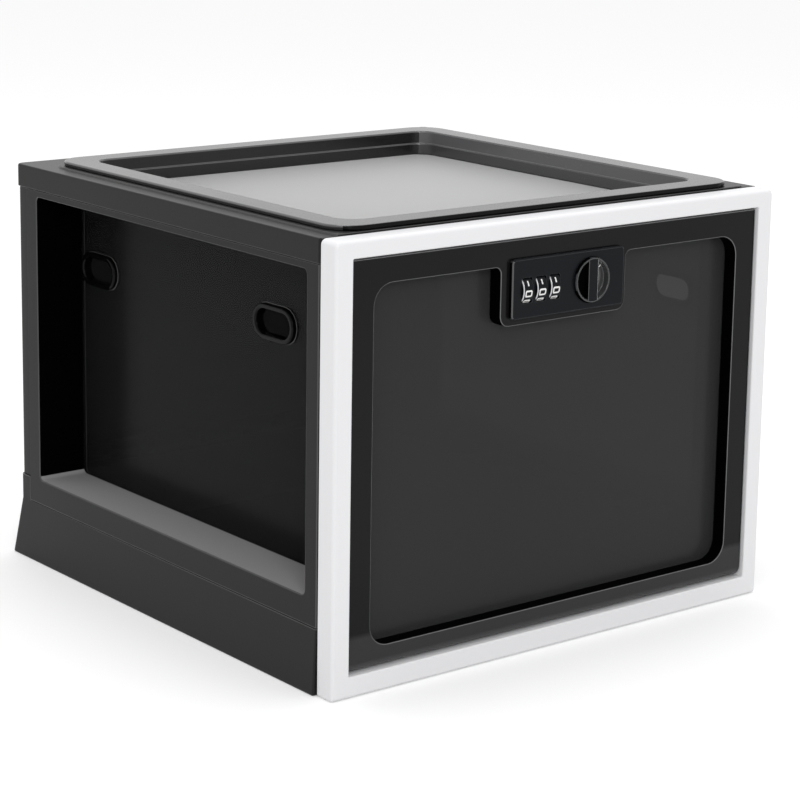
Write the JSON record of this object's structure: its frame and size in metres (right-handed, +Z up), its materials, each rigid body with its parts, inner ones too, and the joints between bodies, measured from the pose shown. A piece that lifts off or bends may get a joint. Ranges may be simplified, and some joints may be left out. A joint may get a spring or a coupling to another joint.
{
  "type": "combination lock box",
  "caption": "Moulded cabinet with smoked windows, a drop-down front door on pins, a combination lock with a turn knob and cam, and a lid with a raised stacking rim.",
  "frame": {"origin": "on the floor, under the middle of the object's bounding box", "axes": "+Z up, front door faces -Y, +X to the right when the front is faced"},
  "size_m": [0.334, 0.3486, 0.259],
  "materials": {
    "shell_black": "satin black ABS",
    "smoked_clear": "glossy smoked clear plastic",
    "rim_black": "semi-gloss black",
    "bezel_white": "satin cool white",
    "door_black": "gloss black",
    "lock_black": "semi-gloss black",
    "dial_black": "satin black with white numbers",
    "pin_steel": "bright steel",
    "lock_steel": "zinc-plated steel",
    "lock_brass": "plain brass"
  },
  "bodies": {
    "cabinet": {"base_tray": "shell_black", "floor_panel": "shell_black", "left_side_frame": "shell_black", "right_side_frame": "shell_black", "left_side_pane": "smoked_clear", "right_side_pane": "smoked_clear", "back_frame": "shell_black", "back_pane": "smoked_clear", "top_frame": "shell_black", "lid_rim": "rim_black", "lid_pane": "smoked_clear", "front_bezel": "bezel_white", "left_hinge_pin": "pin_steel", "right_hinge_pin": "pin_steel"},
    "door": {"door_frame": "door_black", "door_pane": "smoked_clear", "lock_faceplate": "lock_black", "lock_case": "lock_black", "lock_screw_left": "lock_steel", "lock_screw_right": "lock_steel", "dial_axle": "lock_steel", "sleeve_spring": "lock_steel", "locking_bar": "lock_steel", "detent_spring": "lock_steel"},
    "dial_1": {"number_dial_1": "dial_black", "code_sleeve_1": "lock_brass"},
    "dial_2": {"number_dial_2": "dial_black", "code_sleeve_2": "lock_brass"},
    "dial_3": {"number_dial_3": "dial_black", "code_sleeve_3": "lock_brass"},
    "knob_group": {"knob": "lock_black", "spindle": "lock_steel", "cam": "lock_steel", "cam_washer": "lock_steel", "cam_nut": "lock_steel"}
  },
  "joints": [
    {"name": "door_hinge", "type": "hinge", "parent": "cabinet", "child": "door", "pos_m": [0, -0.16315, 0.0188], "axis": [1, 0, 0], "range_deg": [0, 90]},
    {"name": "knob_turn", "type": "hinge", "parent": "door", "child": "knob_group", "pos_m": [0.0167, -0.16315, 0.2155], "axis": [0, -1, 0], "range_deg": [0, 90]},
    {"name": "dial_turn_1", "type": "hinge", "parent": "door", "child": "dial_1", "pos_m": [-0.0317, -0.16455, 0.2145], "axis": [1, 0, 0], "continuous": true},
    {"name": "dial_turn_2", "type": "hinge", "parent": "door", "child": "dial_2", "pos_m": [-0.0214, -0.16455, 0.2145], "axis": [1, 0, 0], "continuous": true},
    {"name": "dial_turn_3", "type": "hinge", "parent": "door", "child": "dial_3", "pos_m": [-0.0111, -0.16455, 0.2145], "axis": [1, 0, 0], "continuous": true}
  ]
}
